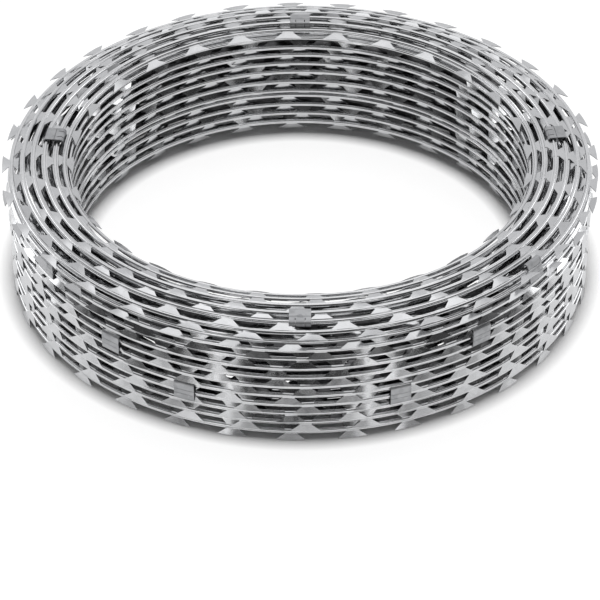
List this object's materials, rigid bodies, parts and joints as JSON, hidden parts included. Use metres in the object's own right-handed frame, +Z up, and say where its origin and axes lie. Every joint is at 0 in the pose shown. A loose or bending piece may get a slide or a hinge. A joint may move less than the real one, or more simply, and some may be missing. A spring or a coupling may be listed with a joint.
{
  "type": "razor wire coil",
  "caption": "Coil of galvanised concertina razor wire lying flat: a round bundle of barbed turns with dovetail blades, held together by sheet steel clips.",
  "frame": {"origin": "on the floor at the middle of the bore", "axes": "+Z up along the coil's axis, crown clips on +Y and -Y"},
  "size_m": [0.465, 0.465, 0.105],
  "materials": {
    "strand": "bright galvanised barbed strip crimped on galvanised core wire",
    "clip": "dull galvanised sheet steel"
  },
  "bodies": {
    "root": {"razor_wire_coil": "strand", "crown_clip_1": "clip", "crown_clip_2": "clip", "crown_clip_3": "clip", "crown_clip_4": "clip", "wall_clip_1": "clip", "wall_clip_2": "clip", "wall_clip_3": "clip", "wall_clip_4": "clip", "wall_clip_5": "clip", "wall_clip_6": "clip", "wall_clip_7": "clip", "wall_clip_8": "clip", "wall_clip_9": "clip", "wall_clip_10": "clip"}
  },
  "joints": []
}
